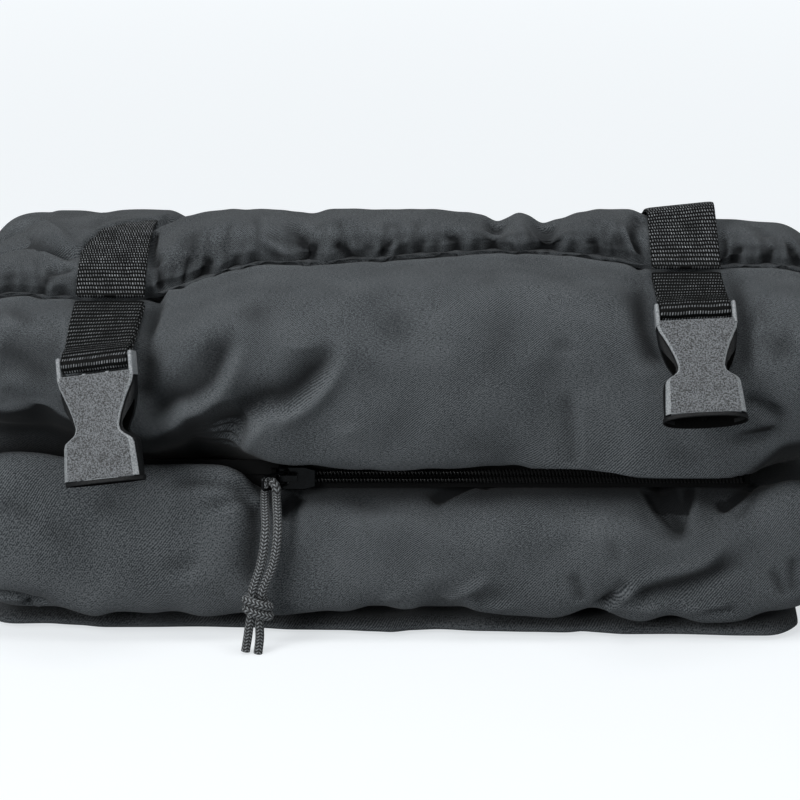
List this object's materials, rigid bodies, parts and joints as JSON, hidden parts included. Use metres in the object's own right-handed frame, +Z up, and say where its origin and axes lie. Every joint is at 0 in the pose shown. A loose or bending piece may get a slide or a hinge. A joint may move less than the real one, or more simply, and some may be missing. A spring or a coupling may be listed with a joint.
{
  "type": "folded sleeping bag",
  "caption": "Padded fabric sleeping bag folded into a flat bundle, with side-release buckle straps, a gathered hem and a zip with a knotted cord pull.",
  "frame": {"origin": "on the floor, under the middle of the folded bag", "axes": "+Z up, the front with the buckles and the zip faces -Y, +X along the bag to the right as seen from the front"},
  "size_m": [0.316, 0.2046, 0.1486],
  "materials": {
    "twill": "charcoal twill, matt",
    "lining": "plain dark lining cloth",
    "wadding": "white hollow-fibre wadding",
    "webbing": "black ribbed webbing, 25 mm wide",
    "acetal": "moulded dark grey acetal, fine grain",
    "zip_tape": "black woven zip tape",
    "zip_coil": "black spiral coil",
    "zip_metal": "die-cast, blackened",
    "cord": "braided charcoal cord"
  },
  "bodies": {
    "folded_bag": {"base_shell": "twill", "lower_shell": "twill", "upper_shell": "twill", "hem_band_shell": "twill", "lower_lining": "lining", "upper_lining": "lining", "base_insulation": "wadding", "lower_insulation": "wadding", "upper_insulation": "wadding", "hem_band_insulation": "wadding", "left_short_strap": "webbing", "right_short_strap": "webbing", "left_long_strap": "webbing", "right_long_strap": "webbing", "lower_zip_tape": "zip_tape", "upper_zip_tape": "zip_tape", "lower_zip_coil": "zip_coil", "upper_zip_coil": "zip_coil", "zip_top_stop": "zip_metal", "zip_bottom_stop": "zip_metal"},
    "slider": {"zip_slider": "zip_metal"},
    "bail": {"zip_bail": "zip_metal"},
    "pull_cord": {"pull_cord_loop": "cord", "pull_cord_knot": "cord", "pull_cord_tail_left": "cord", "pull_cord_tail_right": "cord"},
    "left_socket": {"left_buckle_socket": "acetal"},
    "right_socket": {"right_buckle_socket": "acetal"},
    "left_plug": {"left_buckle_plug": "acetal"},
    "left_plug_left_arm": {"left_buckle_plug_left_arm": "acetal"},
    "left_plug_right_arm": {"left_buckle_plug_right_arm": "acetal"},
    "right_plug": {"right_buckle_plug": "acetal"},
    "right_plug_left_arm": {"right_buckle_plug_left_arm": "acetal"},
    "right_plug_right_arm": {"right_buckle_plug_right_arm": "acetal"}
  },
  "joints": [
    {"name": "slider_travel", "type": "slide", "parent": "folded_bag", "child": "slider", "axis": [1, 0, 0], "range_m": [0, 0.155]},
    {"name": "bail_swing", "type": "hinge", "parent": "slider", "child": "bail", "pos_m": [-0.0406, -0.07188, 0.0598], "axis": [0, 0, 1], "range_deg": [0, 60]},
    {"name": "cord_swing", "type": "hinge", "parent": "bail", "child": "pull_cord", "pos_m": [-0.04643, -0.07771, 0.0573], "axis": [-0.7071, -0.7071, 0], "range_deg": [0, 90]},
    {"name": "left_socket_hinge", "type": "hinge", "parent": "folded_bag", "child": "left_socket", "pos_m": [-0.1077, -0.0885, 0.1073], "axis": [-0.9527, 0.2462, -0.1783], "range_deg": [0, 95]},
    {"name": "right_socket_hinge", "type": "hinge", "parent": "folded_bag", "child": "right_socket", "pos_m": [0.105, -0.0795, 0.1235], "axis": [-0.9986, -0.0336, -0.0401], "range_deg": [0, 95]},
    {"name": "left_plug_hinge", "type": "hinge", "parent": "folded_bag", "child": "left_plug", "pos_m": [-0.1052, 0.089, 0.07192], "axis": [1, 0, 0], "range_deg": [0, 90]},
    {"name": "left_plug_left_arm_flex", "type": "hinge", "parent": "left_plug", "child": "left_plug_left_arm", "pos_m": [-0.0958, 0.089, 0.05772], "axis": [0, 1, 0], "range_deg": [0, 8], "stiffness_Nm_per_rad": 0.05},
    {"name": "left_plug_right_arm_flex", "type": "hinge", "parent": "left_plug", "child": "left_plug_right_arm", "pos_m": [-0.1146, 0.089, 0.05772], "axis": [0, -1, 0], "range_deg": [0, 8], "stiffness_Nm_per_rad": 0.05},
    {"name": "right_plug_hinge", "type": "hinge", "parent": "folded_bag", "child": "right_plug", "pos_m": [0.1036, 0.089, 0.08061], "axis": [1, 0, 0], "range_deg": [0, 90]},
    {"name": "right_plug_left_arm_flex", "type": "hinge", "parent": "right_plug", "child": "right_plug_left_arm", "pos_m": [0.113, 0.089, 0.06641], "axis": [0, 1, 0], "range_deg": [0, 8], "stiffness_Nm_per_rad": 0.05},
    {"name": "right_plug_right_arm_flex", "type": "hinge", "parent": "right_plug", "child": "right_plug_right_arm", "pos_m": [0.0942, 0.089, 0.06641], "axis": [0, -1, 0], "range_deg": [0, 8], "stiffness_Nm_per_rad": 0.05}
  ]
}
